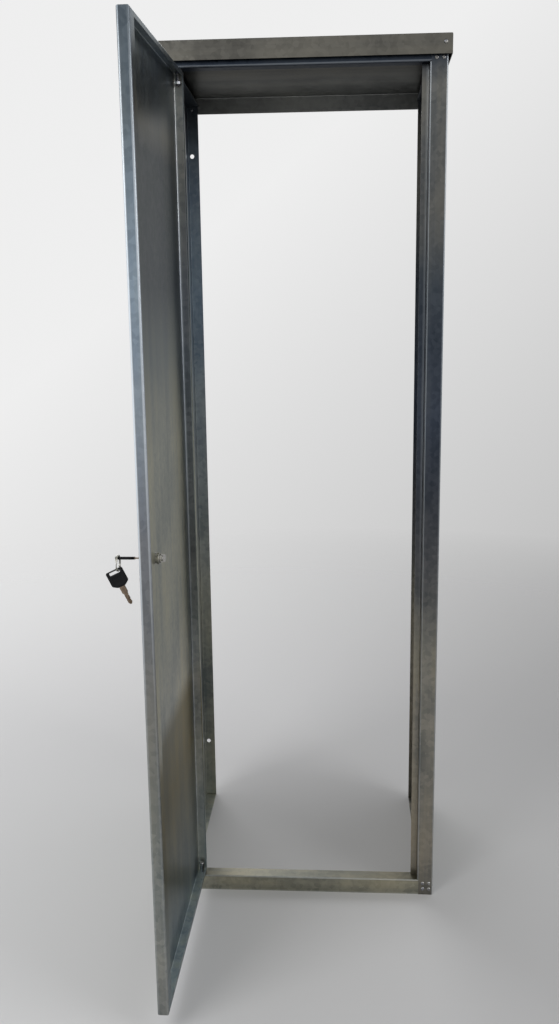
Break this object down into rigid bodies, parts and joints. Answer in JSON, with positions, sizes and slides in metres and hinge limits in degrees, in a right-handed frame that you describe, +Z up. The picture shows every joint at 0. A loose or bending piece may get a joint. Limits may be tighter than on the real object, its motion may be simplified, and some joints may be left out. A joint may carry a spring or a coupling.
{
  "type": "gas bottle cabinet",
  "caption": "Tall free-standing galvanised sheet-steel gas bottle cabinet with sloping roof, open back and floor, one hinged door with a key lock, keys included.",
  "frame": {"origin": "centre of the bounding box on the floor, with the door open", "axes": "+Z up, -Y out of the door opening towards the user, +X to the right of a person who faces the opening"},
  "size_m": [0.4886, 0.7536, 1.4504],
  "materials": {
    "galvanised_sheet": "satin",
    "zinc_plated_steel": "satin",
    "nickel_plated_lock": "polished",
    "nickel_silver": "satin",
    "black_plastic": "matte"
  },
  "bodies": {
    "cabinet": {"left_side_panel": "galvanised_sheet", "right_side_panel": "galvanised_sheet", "bottom_rail": "galvanised_sheet", "top_rail": "galvanised_sheet", "roof_cap": "galvanised_sheet", "bottom_corner_rivets": "zinc_plated_steel", "top_corner_rivets": "zinc_plated_steel", "roof_corner_rivets": "zinc_plated_steel", "roof_fixing_rivets": "zinc_plated_steel", "lower_hinge_pin": "zinc_plated_steel", "lower_hinge_washer": "zinc_plated_steel", "upper_hinge_bolt": "zinc_plated_steel", "upper_hinge_nut": "zinc_plated_steel", "upper_hinge_washer": "zinc_plated_steel"},
    "door": {"door_panel": "galvanised_sheet", "lock_housing": "nickel_plated_lock", "lock_nut": "nickel_plated_lock"},
    "lock_barrel": {"lock_plug": "nickel_plated_lock", "lock_cam": "nickel_plated_lock", "cam_screw": "nickel_plated_lock"},
    "key": {"key_blade": "nickel_silver", "key_head": "black_plastic"},
    "key_ring": {"key_ring": "nickel_plated_lock"},
    "spare_key": {"spare_key_blade": "nickel_silver", "spare_key_head": "black_plastic"}
  },
  "joints": [
    {"name": "door_hinge", "type": "hinge", "parent": "cabinet", "child": "door", "pos_m": [-0.18069, 0.01265, 0.7], "axis": [0, 0, 1], "range_deg": [-15, 90.6]},
    {"name": "lock_turn", "type": "hinge", "parent": "door", "child": "lock_barrel", "pos_m": [-0.1929, -0.3417, 0.715], "axis": [-0.9999, 0.0105, 0], "range_deg": [-14, 166]},
    {"name": "key_slide", "type": "slide", "parent": "lock_barrel", "child": "key", "axis": [-0.9999, 0.0105, 0], "range_m": [0, 0.017]},
    {"name": "ring_swing", "type": "hinge", "parent": "key", "child": "key_ring", "pos_m": [-0.2268, -0.35153, 0.7155], "axis": [0.0105, 0.9999, 0], "range_deg": [-6, 9]},
    {"name": "spare_key_swing", "type": "hinge", "parent": "key_ring", "child": "spare_key", "pos_m": [-0.2268, -0.35153, 0.69973], "axis": [0.0105, 0.9999, 0], "range_deg": [-6, 40]}
  ]
}
